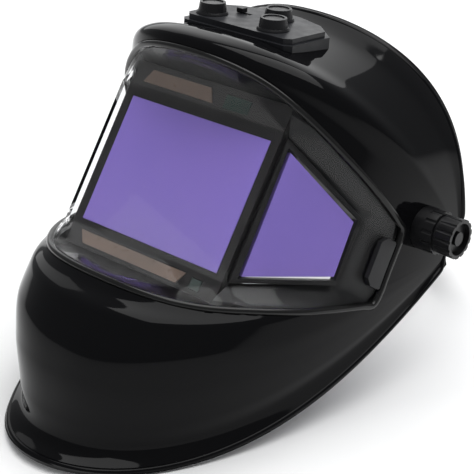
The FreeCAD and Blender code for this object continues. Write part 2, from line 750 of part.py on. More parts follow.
def make_crown_studs():
    studs = []
    for x in (-9, 9):
        stem = rod(3.0, V(x, STRAP_Y, CROWN_TOP - 2.6), V(x, STRAP_Y, CROWN_TOP + 5.6))
        studs.append(stem.fuse(rod(4.6, V(x, STRAP_Y, CROWN_TOP + 4.4), V(x, STRAP_Y, CROWN_TOP + 5.8))))
    return Part.makeCompound(studs)


def rack_tail(sign):
    """Toothed strap end: sign +1 is the wearer's left, below the pinion."""
    pitch = 2 * math.pi * PITCH_RADIUS / PINION_TEETH
    face = PITCH_RADIUS + 1.5
    y0, y1 = RATCHET_Y + 1.0, RATCHET_Y + 3.4
    bar = box(-20, 48, y0, y1, -(face + 5), -face)
    teeth = []
    for i in range(11):
        x = (i - 4.5) * pitch
        low, high = 0.62, 0.30
        outline = [(x - low, -face - 0.1), (x + low, -face - 0.1), (x + high, -face + 2.0),
                   (x - high, -face + 2.0)]
        teeth.append(prism([V(px, y0, pz) for px, pz in outline], V(0, y1 - y0, 0)))
    tail = bar.fuse(teeth)
    tail.translate(V(0, 0, RATCHET_Z))
    if sign < 0:
        tail.rotate(V(0, RATCHET_Y, RATCHET_Z), V(0, 1, 0), 180)
    return tail


def make_pinion():
    y0, y1 = RATCHET_Y + 1.0, RATCHET_Y + 3.4
    gear = rod(PITCH_RADIUS - 1.1, V(0, y0, RATCHET_Z), V(0, y1, RATCHET_Z))
    for i in range(PINION_TEETH):
        outline = [(-0.75, 4.0), (0.75, 4.0), (0.32, PITCH_RADIUS + 0.9), (-0.32, PITCH_RADIUS + 0.9)]
        tooth = prism([V(x, y0, RATCHET_Z + z) for x, z in outline], V(0, y1 - y0, 0))
        tooth.rotate(V(0, y0, RATCHET_Z), V(0, 1, 0), 360 / PINION_TEETH * i)
        gear = gear.fuse(tooth)
    shaft = rod(3.0, V(0, RATCHET_Y - 0.2, RATCHET_Z), V(0, RATCHET_Y + 13.0, RATCHET_Z))
    return gear.fuse(shaft)


def make_ratchet_housing(head_solid):
    y0, y1 = 255.0, RATCHET_Y + 6.0
    body = box(-52, 52, y0, y1, RATCHET_Z - 16, RATCHET_Z + 16).cut(head_solid)
    body = largest(body)
    slot = box(-60, 60, RATCHET_Y + 0.7, RATCHET_Y + 3.7, RATCHET_Z - 13, RATCHET_Z + 13)
    bore = rod(3.0 + RUNNING_GAP, V(0, RATCHET_Y - 1, RATCHET_Z), V(0, RATCHET_Y + 20, RATCHET_Z))
    return body.cut(slot).cut(bore)


def make_ratchet_knob():
    y0 = RATCHET_Y + 6.3
    depth = 12.0
    knob = rod(20, V(0, y0, RATCHET_Z), V(0, y0 + depth, RATCHET_Z))
    knob = knob.makeChamfer(1.2, [knob.Edges[0]])
    flutes = 18
    for i in range(flutes):
        turn = 2 * math.pi * i / flutes
        spot = V(20.9 * math.sin(turn), y0 + 2, RATCHET_Z + 20.9 * math.cos(turn))
        knob = knob.cut(Part.makeCylinder(2.0, depth, spot, V(0, 1, 0)))
    return knob.cut(rod(3.0, V(0, y0 - 1, RATCHET_Z), V(0, RATCHET_Y + 13.0, RATCHET_Z)))


def make_rivets():
    """Rivets that hold the side arms and the crown straps to the headband."""
    pins = [x_rod(1.6, 80.5, 88.6, 140.0, z) for z in (52.0, 60.0)]
    pins += [x_rod(1.6, 80.5, 87.2, y, 53.0) for y in (STRAP_Y - 6, STRAP_Y + 6)]
    return both_sides(Part.makeCompound(pins))


def main():
    os.makedirs("parts", exist_ok=True)
    grid = shell_grid()
    blank = shell_layer(grid, 0.0, -SHELL_WALL)
    wall = shell_layer(grid, 0.1, -SHELL_WALL - 0.1)
    outer_face = skin(grid).toShape()

    # shell and lens
    save("helmet_shell", make_shell(blank))
    lens = make_lens(outer_face)
    latch_zone = latch_outline(0.4)
    lens = lens.cut(latch_zone).cut(mirrored(latch_zone))
    save("cover_lens", largest(lens))
    seal_layer = shell_layer(grid, 0.9, -4.2)
    seal = seal_layer.common(opening_prism(0.12)).cut(opening_prism(SEAL_WIDTH))
    save("lens_seal", largest(seal))
    tab_layer = shell_layer(grid, 0.8, -2.4)
    tab = largest(tab_layer.common(latch_outline(0.0)))
    save("right_lens_latch", mirrored(tab))
    save("left_lens_latch", tab)

    # filter cartridge
    glass = box(-GLASS_HALF_X, GLASS_HALF_X, 0.0, GLASS_DEPTH, -GLASS_HALF_Z, GLASS_HALF_Z)
    save("main_filter_glass", glass)
    side_glass = side_prism(SIDE_GLASS, SIDE_GLASS_FACE - 4.0, SIDE_GLASS_FACE)
    save("left_filter_glass", side_glass)
    save("right_filter_glass", mirrored(side_glass))
    save("cartridge_front_frame", make_front_frame())
    save("cartridge_rear_housing", make_rear_housing())
    wing = make_side_wing()
    save("left_filter_wing", wing)
    save("right_filter_wing", mirrored(wing))
    save("upper_solar_cell", upper_cell())
    save("lower_solar_cell", lower_cell())
    save("arc_sensors", sensor_blocks())
    save("filter_driver_board", box(-58, 58, 6.5, 8.1, 46, 63.5))
    save("inner_cover_lens", box(-61, 61, 14.3, 15.8, -46, 46))
    clips = [box(-12, 12, 14.2, 17.6, z, z + 4) for z in (46.3, -50.3)]
    save("inner_lens_clips", Part.makeCompound(clips))
    holder = box(-74, 74, 18.0, 20.5, -66, 72).cut(box(-60, 60, 10, 30, -50.5, 50.5))
    for x0, x1 in ((-80, -64.5), (64.5, 80)):
        holder = holder.cut(box(x0, x1, 10, 30, -50.5, 50.5))
    screws = []
    for x in (-61, 61):
        for z in (-56, 59):
            holder = holder.cut(rod(1.6, V(x, 10, z), V(x, 30, z)))
            shank = rod(1.5, V(x, 14.1, z), V(x, 20.6, z))
            screws.append(shank.fuse(rod(3.0, V(x, 20.6, z), V(x, 22.6, z))))
    save("cartridge_holder", holder)
    save("holder_screws", Part.makeCompound(screws))
    rim_zone = shell_layer(grid, 1.0, -4.5).common(opening_prism(-0.3))
    save("filter_surround", make_surround(outer_face, wall, rim_zone))
    arms = []
    for z0, z1 in ((-66, -58.7), (62.7, 72)):
        arms.append(outermost(box(74.1, 118, 17.6, 21.0, z0, z1).cut(wall), V(-1, 0, 0)))
    save("holder_brackets", Part.makeCompound(arms + [mirrored(arm) for arm in arms]))

    # controls
    save("control_panel", make_panel(wall))
    save("control_box", make_tray(wall))
    save("control_board", panel_box(-39.5, 39.5, 3.5, 37.5, -21.5, -20.0))
    pots = []
    for name, place in KNOB_PLACES.items():
        x, u = place
        pots.append(panel_box(x - 5, x + 5, max(u - 5, 4), u + 5, -19.9, -13.0))
        save(name + "_knob", make_dial_knob(place))
        save(name + "_shaft", make_dial_shaft(place))
    save("potentiometers", Part.makeCompound(pots))
    x, u = SWITCH_PLACE
    save("mode_switch_slider", make_switch_slider())
    save("mode_switch_body", panel_box(x - 6, x + 9, u - 3, u + 3, -19.9, -12.4))
    cells = [panel_rod(12.25, (x, 20.5), -27.6, -22.6) for x in (-14, 14)]
    save("battery_cells", Part.makeCompound(cells))
    save("battery_door", panel_box(-28.8, 28.8, 7.2, 33.8, -31.0, -29.2))
    ribbon = [(9.0, 67.1), (9.0, 75.0), (14.0, 82.9), (14.8, 82.4), (10.0, 74.7), (10.0, 67.1)]
    save("ribbon_lead", prism([V(-8, y, z) for y, z in ribbon], V(16, 0, 0)))

    # pivots
    save("pivot_bushes", both_sides(make_bush(wall)))
    save("knob_base_rings", both_sides(make_base_ring(wall)))
    knob = make_side_knob()
    save("left_tension_knob", knob)
    save("right_tension_knob", mirrored(knob))
    save("pivot_bolts", both_sides(make_pivot_bolt()))
    spacer = x_rod(8, 93.6, 103.7).cut(x_rod(BOLT_RADIUS + 0.02, 90, 110))
    save("pivot_spacers", both_sides(spacer))
    washer = x_rod(12, 104.0, 105.6).cut(x_rod(BOLT_RADIUS + 0.02, 90, 110))
    save("friction_washers", both_sides(washer))
    save("angle_plates", both_sides(make_angle_plate()))

    # headgear
    head_solid = head_prism(BAND_WALL + 0.05, -40, 160)
    save("headband", make_headband().cut(make_rivets()))
    arm = make_side_arm(head_solid)
    rivets = make_rivets()
    arm = arm.cut(rivets)
    save("band_rivets", rivets)
    save("left_side_arm", arm)
    save("right_side_arm", mirrored(arm))
    save("sweatband", make_sweatband())
    save("rear_pad", make_rear_pad())
    save("left_crown_strap", crown_strap(0.0, -22, 120).cut(rivets))
    save("right_crown_strap", crown_strap(2.3, -120, 22).cut(rivets))
    save("crown_strap_studs", make_crown_studs())
    save("ratchet_housing", make_ratchet_housing(head_solid))
    save("ratchet_knob", make_ratchet_knob())
    save("ratchet_pinion", make_pinion())
    save("left_band_rack", rack_tail(1))
    save("right_band_rack", rack_tail(-1))


main()
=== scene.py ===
import json
import math

import bmesh
import bpy
from mathutils import Matrix, Vector
from mathutils.bvhtree import BVHTree


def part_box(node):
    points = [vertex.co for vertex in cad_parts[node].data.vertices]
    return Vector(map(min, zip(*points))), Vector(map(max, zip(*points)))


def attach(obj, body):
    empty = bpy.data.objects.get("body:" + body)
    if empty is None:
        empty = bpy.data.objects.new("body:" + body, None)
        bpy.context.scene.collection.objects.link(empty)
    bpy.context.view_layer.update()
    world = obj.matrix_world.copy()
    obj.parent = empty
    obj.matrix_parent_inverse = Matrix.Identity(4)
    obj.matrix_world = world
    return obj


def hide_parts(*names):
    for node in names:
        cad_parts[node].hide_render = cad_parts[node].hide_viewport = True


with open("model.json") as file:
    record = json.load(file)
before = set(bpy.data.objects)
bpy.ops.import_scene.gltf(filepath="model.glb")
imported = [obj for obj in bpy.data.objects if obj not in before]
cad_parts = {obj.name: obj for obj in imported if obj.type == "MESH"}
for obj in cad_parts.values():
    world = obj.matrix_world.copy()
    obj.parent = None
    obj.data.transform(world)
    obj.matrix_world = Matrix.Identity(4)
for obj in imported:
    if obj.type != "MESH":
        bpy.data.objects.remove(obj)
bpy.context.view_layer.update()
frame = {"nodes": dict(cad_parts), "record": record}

# The helmet is drawn in the wearer's frame, in millimetres: +X the wearer's left,
# +Y back, +Z up, from the middle of the main filter's front face. STAND tips that
# frame back by REST_TILT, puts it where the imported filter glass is, and turns
# millimetres into metres.
MM = 0.001
REST_TILT = math.radians(35.4)
FILTER_HALF_DEPTH = 2.5


def standing_matrix():
    low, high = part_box("main_filter_glass")
    turn = Matrix.Rotation(-REST_TILT, 4, "X")
    front = (low + high) / 2 - turn @ Vector((0, FILTER_HALF_DEPTH * MM, 0))
    return Matrix.Translation(front) @ turn @ Matrix.Scale(MM, 4)


STAND = standing_matrix()
WINDOW = STAND @ Vector((0, 0, 0))

# ---- shell dimensions, millimetres ----
SHELL_WALL = 3.0
SHELL_ROWS = 181
SHELL_HALF_COLUMNS = 96
BEAD_RADIUS = 2.3
OPENING_REAR_Y = 95.5
OPENING_CORNER = 9.0
OPENING_UPPER_CUT = (1.9, 2.4)
OPENING_LOWER_CUT = (2.3, 2.6)
SEAL_WIDTH = 3.6

# The opening's edges slope, so an inset moves them by these shares of it in Y and Z.
EDGE_SHIFT = 0.4
EDGE_LEAN = 1.06

# Place from chin rim to crown rim, nose Y and Z, roundness, bow, rear Y and Z,
# half width, lean of the bow.
SHELL_SECTIONS = [
    (0.00, -26.9, -188.3, 2.10, 22.6, 152.0, 20.0, 119.0, 0.86),
    (0.07, -17.5, -174.8, 2.08, 12.2, 151.0, 24.5, 117.0, 1.20),
    (0.13, -24.0, -160.0, 2.20, 10.0, 151.0, 25.5, 117.0, 0.80),
    (0.22, -38.0, -134.0, 2.35, 8.0, 151.0, 26.5, 117.0, 0.40),
    (0.30, -45.0, -110.0, 2.45, 7.0, 151.0, 27.5, 117.0, 0.30),
    (0.37, -44.0, -91.0, 2.45, 6.0, 151.0, 28.5, 117.0, 0.20),
    (0.42, -35.0, -77.0, 2.45, 5.0, 151.0, 30.0, 117.0, 0.0),
    (0.46, -30.0, -60.0, 2.40, 3.0, 151.0, 32.0, 117.0, 0.0),
    (0.57, -29.0, 5.0, 2.30, 0.0, 151.0, 36.0, 117.0, 0.0),
    (0.68, -31.0, 68.0, 2.30, -4.0, 151.0, 40.0, 117.0, 0.0),
    (0.74, -35.0, 82.0, 2.35, -5.0, 151.0, 42.0, 117.0, 0.0),
    (0.79, -26.0, 91.0, 2.50, -5.0, 151.0, 43.0, 117.0, 0.0),
    (0.86, 0.0, 101.0, 2.50, -5.0, 151.0, 44.0, 117.0, 0.0),
    (0.94, 51.0, 128.5, 2.45, -5.0, 151.0, 46.0, 117.0, 0.50),
    (1.00, 65.0, 143.2, 2.16, -9.1, 152.5, 50.5, 119.0, 1.50),
]
OPENING_TOP = [(-60, 84), (-34, 78), (-14, 72.5), (28, 54.6), (74, 37.3), (87, 32)]
OPENING_BOTTOM = [(83, -29.5), (59, -38.6), (14, -56), (-14, -67.6), (-33, -73.6), (-60, -80)]


# ---- materials ----
class Paint:
    """A procedural material: one Principled shader and the patterns that feed it."""

    def __init__(self, name, colour, roughness, **sockets):
        self.material = bpy.data.materials.new(name)
        self.material.use_nodes = True
        self.tree = self.material.node_tree
        self.shader = self.tree.nodes["Principled BSDF"]
        self.set("Base Color", (*colour, 1.0))
        self.set("Roughness", roughness)
        for socket, value in sockets.items():
            self.set(socket.replace("_", " "), value)
        self.place = self.add("ShaderNodeTexCoord").outputs["Object"]
        self.height = None

    def add(self, kind, **settings):
        node = self.tree.nodes.new(kind)
        for key, value in settings.items():
            setattr(node, key, value)
        return node

    def set(self, socket, value):
        self.shader.inputs[socket].default_value = value

    def join(self, source, target):
        self.tree.links.new(source, target)

    def scaled(self, stretch):
        mapping = self.add("ShaderNodeMapping")
        mapping.inputs["Scale"].default_value = stretch
        self.join(self.place, mapping.inputs["Vector"])
        return mapping.outputs["Vector"]

    def noise(self, grain, detail=3.0, stretch=(1, 1, 1)):
        """Noise whose lumps are about grain metres across."""
        node = self.add("ShaderNodeTexNoise")
        node.inputs["Scale"].default_value = 1 / grain
        node.inputs["Detail"].default_value = detail
        self.join(self.scaled(stretch), node.inputs["Vector"])
        return node.outputs["Fac"]

    def cells(self, grain, stretch=(1, 1, 1)):
        node = self.add("ShaderNodeTexVoronoi")
        node.inputs["Scale"].default_value = 1 / grain
        self.join(self.scaled(stretch), node.inputs["Vector"])
        return node.outputs["Distance"]

    def ramp(self, value, low, high, start=0.3, end=0.7):
        """A number from low to high as the pattern goes from start to end."""
        node = self.add("ShaderNodeMapRange")
        sockets = ("From Min", "From Max", "To Min", "To Max")
        for socket, number in zip(sockets, (start, end, low, high)):
            node.inputs[socket].default_value = number
        self.join(value, node.inputs["Value"])
        return node.outputs["Result"]

    def rough(self, value, low, high):
        self.join(self.ramp(value, low, high), self.shader.inputs["Roughness"])
        return self

    def tint(self, value, first, second, start=0.3, end=0.7):
        node = self.add("ShaderNodeMix", data_type="RGBA")
        node.inputs["A"].default_value = (*first, 1.0)
        node.inputs["B"].default_value = (*second, 1.0)
        self.join(self.ramp(value, 0.0, 1.0, start, end), node.inputs["Factor"])
        self.join(node.outputs["Result"], self.shader.inputs["Base Color"])
        return self

    def bump(self, value, depth, strength=1.0):
        """Relief of about depth metres; several are laid over each other."""
        node = self.add("ShaderNodeBump")
        node.inputs["Distance"].default_value = depth
        node.inputs["Strength"].default_value = strength
        self.join(value, node.inputs["Height"])
        if self.height is not None:
            self.join(self.height, node.inputs["Normal"])
        self.height = node.outputs["Normal"]
        self.join(self.height, self.shader.inputs["Normal"])
        return self


def gloss_shell():
    paint = Paint("shell_gloss", (0.003, 0.003, 0.0035), 0.06, IOR=1.2)
    paint.rough(paint.noise(0.03, 5.0), 0.035, 0.075)
    paint.bump(paint.noise(0.012, 1.0), 0.00002)
    return paint.bump(paint.noise(0.0009, 2.0, (1, 6, 1)), 0.000002)


def moulded(name, colour, roughness, grain=0.0006, depth=0.00003):
    """Satin moulding with a fine spark-eroded texture and slight wear."""
    paint = Paint(name, colour, roughness, IOR=1.36)
    lighter = tuple(c * 1.6 + 0.001 for c in colour)
    paint.tint(paint.noise(0.02, 4.0), colour, lighter)
    paint.rough(paint.noise(0.008, 4.0), roughness - 0.07, roughness + 0.07)
    return paint.bump(paint.noise(grain, 3.0), depth)


def clear_plastic():
    paint = Paint("clear_lens", (0.985, 0.985, 0.99), 0.02, IOR=1.04, Coat_Weight=0.4, Coat_IOR=1.3)
    paint.set("Transmission Weight", 1.0)
    return paint.rough(paint.noise(0.02, 4.0), 0.01, 0.04)


def filter_glass():
    paint = Paint("filter_glass", (0.27, 0.19, 0.63), 0.22, IOR=1.35)
    paint.tint(paint.noise(0.05, 2.0), (0.26, 0.185, 0.62), (0.28, 0.195, 0.64))
    return paint.rough(paint.noise(0.02), 0.18, 0.26)


def solar_film():
    paint = Paint("solar_cell", (0.16, 0.105, 0.075), 0.3, IOR=1.5)
    paint.tint(paint.noise(0.03, 2.0), (0.13, 0.085, 0.06), (0.19, 0.125, 0.09))
    return paint.rough(paint.noise(0.004), 0.25, 0.4)


def circuit_board():
    paint = Paint("circuit_board", (0.02, 0.12, 0.05), 0.35, IOR=1.5)
    paint.tint(paint.cells(0.004), (0.012, 0.09, 0.035), (0.35, 0.3, 0.12), 0.6, 0.64)
    return paint.bump(paint.cells(0.004), 0.0001)


def brushed_steel(name, colour):
    paint = Paint(name, colour, 0.28, Metallic=1.0)
    paint.rough(paint.noise(0.0006, 3.0, (8, 1, 1)), 0.2, 0.4)
    return paint.bump(paint.noise(0.0005, 2.0, (10, 1, 1)), 0.00001)


def knit():
    """Brushed knit over foam: small loops, fuzz and a soft sheen."""
    paint = Paint("padding", (0.035, 0.035, 0.038), 0.9, Sheen_Weight=0.35, Sheen_Roughness=0.5)
    loops = paint.cells(0.0011, (1, 1.0, 0.7))
    # The loop colour follows the loop relief: painted shade, darker in the hollows between the raised
    # loop rims.
    paint.tint(loops, (0.022, 0.022, 0.024), (0.075, 0.075, 0.08), 0.1, 0.6)
    paint.bump(loops, 0.00035)
    return paint.bump(paint.noise(0.0004, 4.0), 0.0001)


PAINTS = {
    "shell_gloss": gloss_shell(),
    "lens_seal": moulded("lens_seal", (0.005, 0.005, 0.005), 0.16, 0.002, 0.00001),
    "clear_lens": clear_plastic(),
    "latch": moulded("latch", (0.008, 0.008, 0.009), 0.35),
    "filter_glass": filter_glass(),
    # Dark plastic, darkened further as painted shade for the recess behind the lens, under the shell.
    "cartridge": moulded("cartridge", (0.006, 0.0055, 0.006), 0.4),
    "solar_cell": solar_film(),
    "sensor": moulded("sensor", (0.01, 0.025, 0.02), 0.18, 0.003, 0.00001),
    "circuit_board": circuit_board(),
    # Dark plastic, darkened further as painted shade for the shaded inside of the helmet.
    "inner_plastic": moulded("inner_plastic", (0.006, 0.006, 0.0065), 0.36),
    "steel": brushed_steel("steel", (0.62, 0.62, 0.63)),
    "battery": brushed_steel("battery", (0.72, 0.72, 0.7)),
    "potentiometer": moulded("potentiometer", (0.03, 0.05, 0.09), 0.4),
    "ribbon": moulded("ribbon", (0.45, 0.45, 0.42), 0.45),
    "panel_plastic": moulded("panel_plastic", (0.010, 0.0105, 0.0125), 0.38),
    "knob_plastic": moulded("knob_plastic", (0.005, 0.005, 0.006), 0.32),
    "side_knob": moulded("side_knob", (0.003, 0.003, 0.0035), 0.36),
    "bush_plastic": moulded("bush_plastic", (0.6, 0.6, 0.56), 0.4),
    "headgear_plastic": moulded("headgear_plastic", (0.014, 0.014, 0.016), 0.42),
    "ratchet_plastic": moulded("ratchet_plastic", (0.012, 0.012, 0.013), 0.4),
    "padding": knit(),
}


# ---- pieces ----
WELD_GAP = 0.02
FLAT_ANGLE = math.radians(0.6)
CREASE_ANGLE = math.radians(40)
SHELL_CREASE_ANGLE = math.radians(50)


def dress(obj, slot):
    obj.data.materials.clear()
    obj.data.materials.append(PAINTS[slot].material)


def slot_of():
    return {part["node"]: part["material_slot"] for part in frame["record"]["subparts"]}


SLOTS = slot_of()
BODIES = frame["record"]["behaviour"]["bodies"]
BODY_OF = {node: body for body, nodes in BODIES.items() for node in nodes}


def piece(name, mesh, *nodes):
    """A new visible object that stands for these CAD nodes and rides with them."""
    obj = bpy.data.objects.new(name, mesh)
    bpy.context.scene.collection.objects.link(obj)
    dress(obj, SLOTS[nodes[0]])
    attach(obj, BODY_OF[nodes[0]])
    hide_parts(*nodes)
    return obj


def mesh_of(name, points, faces, smooth=True):
    mesh = bpy.data.meshes.new(name)
    mesh.from_pydata([STAND @ Vector(p) for p in points], [], faces)
    for face in mesh.polygons:
        face.use_smooth = smooth
    mesh.validate()
    return mesh


def softened(node, width, corner=32.0, segments=3):
    """The CAD node's shape with its sharp edges rounded to width millimetres."""
    form = bmesh.new()
    form.from_mesh(frame["nodes"][node].data)
    bmesh.ops.remove_doubles(form, verts=form.verts, dist=WELD_GAP * MM)
    bmesh.ops.dissolve_limit(form, angle_limit=FLAT_ANGLE, verts=form.verts, edges=form.edges)
    sharp = [e for e in form.edges if e.is_manifold and e.calc_face_angle() > math.radians(corner)]
    bmesh.ops.bevel(form, geom=sharp, offset=width * MM, segments=segments, profile=0.5,
                    affect="EDGES", clamp_overlap=True)
    mesh = bpy.data.meshes.new(node + "_soft")
    form.to_mesh(mesh)
    form.free()
    for face in mesh.polygons:
        face.use_smooth = True
    mesh.set_sharp_from_angle(angle=CREASE_ANGLE)
    obj = piece(node + "_finish", mesh, node)
    obj.modifiers.new("even", "WEIGHTED_NORMAL").keep_sharp = True
    return obj


# ---- shell surface ----
def smooth_through(places, values, place):
    """Monotone cubic value at a place between the listed ones."""
    steps = [b - a for a, b in zip(places, places[1:])]
    slopes = [(b - a) / h for a, b, h in zip(values, values[1:], steps)]
    tangents = [slopes[0]]
    for i in range(1, len(slopes)):
        before, after = slopes[i - 1], slopes[i]
        if before * after <= 0:
            tangents.append(0.0)
        else:
            w0 = 2 * steps[i] + steps[i - 1]
            w1 = steps[i] + 2 * steps[i - 1]
            tangents.append((w0 + w1) / (w0 / before + w1 / after))
    tangents.append(slopes[-1])
    i = max(k for k in range(len(steps)) if places[k] <= place or k == 0)
    h = steps[i]
    t = (place - places[i]) / h
    return ((1 + 2 * t) * (1 - t) ** 2 * values[i] + t * (1 - t) ** 2 * h * tangents[i]
            + t * t * (3 - 2 * t) * values[i + 1] + t * t * (t - 1) * h * tangents[i + 1])


def section_point(row, angle):
    nose_y, nose_z, power, bow, rear_y, rear_z, half_width, lean = row
    forward = max(math.cos(angle), 0.0) ** (2 / power)
    side = math.sin(angle) ** (2 / power)
    dy = nose_y - rear_y
    dz = nose_z - rear_z
    span = math.hypot(dy, dz)
    lift = bow * 4 * forward * (1 - forward) * (1 + lean * (forward - 0.5))
    return Vector((half_width * side, rear_y + dy * forward - dz / span * lift,
                   rear_z + dz * forward + dy / span * lift))


def even_points(points, count):
    """The same polyline with points at even distances."""
    lengths = [0.0]
    for a, b in zip(points, points[1:]):
        lengths.append(lengths[-1] + (b - a).length)
    out = []
    k = 0
    for i in range(count):
        target = lengths[-1] * i / (count - 1)
        while k < len(lengths) - 2 and lengths[k + 1] < target:
            k += 1
        share = (target - lengths[k]) / max(lengths[k + 1] - lengths[k], 1e-9)
        out.append(points[k].lerp(points[k + 1], share))
    return out


def shell_grid():
    places = [row[0] for row in SHELL_SECTIONS]
    columns = list(zip(*SHELL_SECTIONS))[1:]
    fine = 400
    grid = []
    for i in range(SHELL_ROWS):
        place = i / (SHELL_ROWS - 1)
        row = [smooth_through(places, column, place) for column in columns]
        right = [section_point(row, math.pi / 2 * k / fine) for k in range(fine + 1)]
        right = even_points(right, SHELL_HALF_COLUMNS)
        left = [Vector((-p.x, p.y, p.z)) for p in reversed(right[1:])]
        grid.append(left + right)
    return grid


def grid_normals(grid):
    rows, columns = len(grid), len(grid[0])
    out = []
    for i in range(rows):
        line = []
        for j in range(columns):
            across = grid[i][min(j + 1, columns - 1)] - grid[i][max(j - 1, 0)]
            along = grid[min(i + 1, rows - 1)][j] - grid[max(i - 1, 0)][j]
            line.append(across.cross(along).normalized())
        out.append(line)
    return out


def rim_indices(rows, columns):
    """Rows and columns of the grid's border points, once round."""
    return ([(0, j) for j in range(columns)] + [(i, columns - 1) for i in range(1, rows)]
            + [(rows - 1, j) for j in range(columns - 2, -1, -1)]
            + [(i, 0) for i in range(rows - 2, 0, -1)])


def slab(grid, normals, outer, inner):
    """Closed mesh between two offsets of the grid."""
    rows, columns = len(grid), len(grid[0])
    points = []
    for offset in (outer, inner):
        for line, turned in zip(grid, normals):
            points += [p + n * offset for p, n in zip(line, turned)]
    faces = []
    for i in range(rows - 1):
        for j in range(columns - 1):
            a = i * columns + j
            faces.append((a, a + 1, a + columns + 1, a + columns))
            b = a + rows * columns
            faces.append((b, b + columns, b + columns + 1, b + 1))
    rim = rim_indices(rows, columns)
    for (i, j), (m, n) in zip(rim, rim[1:] + rim[:1]):
        a, b = i * columns + j, m * columns + n
        faces.append((b, a, a + rows * columns, b + rows * columns))
    return mesh_of("shell", points, faces)


GRID = shell_grid()
NORMALS = grid_normals(GRID)


# ---- lens opening ----
def spline_points(points, count=24):
    """Natural curve through the points, by Catmull-Rom pieces."""
    ends = [points[0] * 2 - points[1]] + points + [points[-1] * 2 - points[-2]]
    out = []
    for a, b, c, d in zip(ends, ends[1:], ends[2:], ends[3:]):
        for k in range(count):
            t = k / count
            out.append(0.5 * (2 * b + (c - a) * t + (2 * a - 5 * b + 4 * c - d) * t * t
                              + (3 * b - a - 3 * c + d) * t ** 3))
    return out + [points[-1]]


def opening_side(inset=0.0):
    """Side view of the opening from the top front round to the bottom front, in Y and Z."""
    shift = inset * EDGE_SHIFT
    top = [Vector((y - shift, z - inset * EDGE_LEAN)) for y, z in OPENING_TOP]
    bottom = [Vector((y - shift, z + inset * EDGE_LEAN)) for y, z in OPENING_BOTTOM]
    rear_y = OPENING_REAR_Y - inset
    upper = Vector((rear_y, top[-1].y - OPENING_CORNER + shift))
    lower = Vector((rear_y, bottom[0].y + OPENING_CORNER - shift))
    upper_mid = Vector((rear_y - OPENING_UPPER_CUT[0], top[-1].y - OPENING_UPPER_CUT[1]))
    lower_mid = Vector((rear_y - OPENING_LOWER_CUT[0], bottom[0].y + OPENING_LOWER_CUT[1]))
    corner_up = spline_points([top[-1], upper_mid, upper], 8)
    corner_down = spline_points([lower, lower_mid, bottom[0]], 8)
    straight = [upper.lerp(lower, k / 24) for k in range(1, 24)]
    return spline_points(top)[:-1] + corner_up + straight + corner_down[:-1] + spline_points(bottom)


def opening_cutter(inset=0.0, reach=150.0):
    """The opening's side view as a prism right through the shell."""
    outline = opening_side(inset)
    points = [(x, p.x, p.y) for x in (-reach, reach) for p in outline]
    n = len(outline)
    faces = [tuple(range(n)), tuple(range(2 * n - 1, n - 1, -1))]
    faces += [(k, k + n, (k + 1) % n + n, (k + 1) % n) for k in range(n)]
    mesh = mesh_of("opening", points, faces)
    obj = bpy.data.objects.new("opening_cutter", mesh)
    bpy.context.scene.collection.objects.link(obj)
    return obj


def applied(obj):
    """The object's mesh with its modifiers worked in."""
    bpy.context.view_layer.update()
    graph = bpy.context.evaluated_depsgraph_get()
    mesh = bpy.data.meshes.new_from_object(obj.evaluated_get(graph))
    obj.modifiers.clear()
    obj.data = mesh
    return obj


def cut_with(obj, cutter):
    cut = obj.modifiers.new("cut", "BOOLEAN")
    cut.operation = "DIFFERENCE"
    cut.solver = "EXACT"
    cut.object = cutter
    applied(obj)
    bpy.data.objects.remove(cutter)
    return obj


# ---- beads that follow the shell ----
def swept(name, path, ups, profile):
    """Closed tube: profile points (sideways, up) carried round a closed path."""
    count, sides = len(path), len(profile)
    points = []
    for i, (centre, up) in enumerate(zip(path, ups)):
        along = (path[(i + 1) % count] - path[i - 1]).normalized()
        sideways = along.cross(up).normalized()
        upright = sideways.cross(along)
        points += [centre + sideways * s + upright * u for s, u in profile]
    faces = []
    for i in range(count):
        for k in range(sides):
            a, b = i * sides + k, i * sides + (k + 1) % sides
            c, d = ((i + 1) % count) * sides + (k + 1) % sides, ((i + 1) % count) * sides + k
            faces.append((a, b, c, d))
    return mesh_of(name, points, faces)


def oval(half_width, low, high, sides=20, power=0.8):
    """Rounded profile from low to high, flatter than an ellipse."""
    middle, half = (low + high) / 2, (high - low) / 2
    out = []
    for k in range(sides):
        turn = 2 * math.pi * k / sides
        c, s = math.cos(turn), math.sin(turn)
        out.append((half_width * math.copysign(abs(c) ** power, c),
                    middle + half * math.copysign(abs(s) ** power, s)))
    return out


def averaged(vectors, reach):
    """Each vector evened out with its neighbours round a closed loop."""
    count = len(vectors)
    return [sum((vectors[(i + k) % count] for k in range(-reach, reach + 1)), Vector()) / (2 * reach + 1)
            for i in range(count)]


def rounded_loop(points, radius_steps):
    """A closed loop with its corners eased, by repeated averaging of close points."""
    for _ in range(radius_steps):
        points = averaged(points, 1)
    return points


def evenly_closed(points, count):
    return even_points(points + [points[0]], count + 1)[:-1]


BEAD_STEPS = 700
SEAL_STEPS = 900
SEAL_PROFILE = oval(2.3, -4.2, 1.5)


def make_rim_bead():
    """Rolled bead along the shell's free edge, inside its outline."""
    rows, columns = len(GRID), len(GRID[0])
    inward = 2
    path, ups = [], []
    for i, j in rim_indices(rows, columns):
        i, j = min(max(i, inward), rows - 1 - inward), min(max(j, 1), columns - 2)
        path.append(GRID[i][j] - NORMALS[i][j] * SHELL_WALL / 2)
        ups.append(NORMALS[i][j])
    path = rounded_loop(evenly_closed(path, BEAD_STEPS), 6)
    ups = averaged(evenly_closed(ups, BEAD_STEPS), 3)
    return swept("rim_bead", path, ups, oval(BEAD_RADIUS, -BEAD_RADIUS, BEAD_RADIUS, power=1.0))


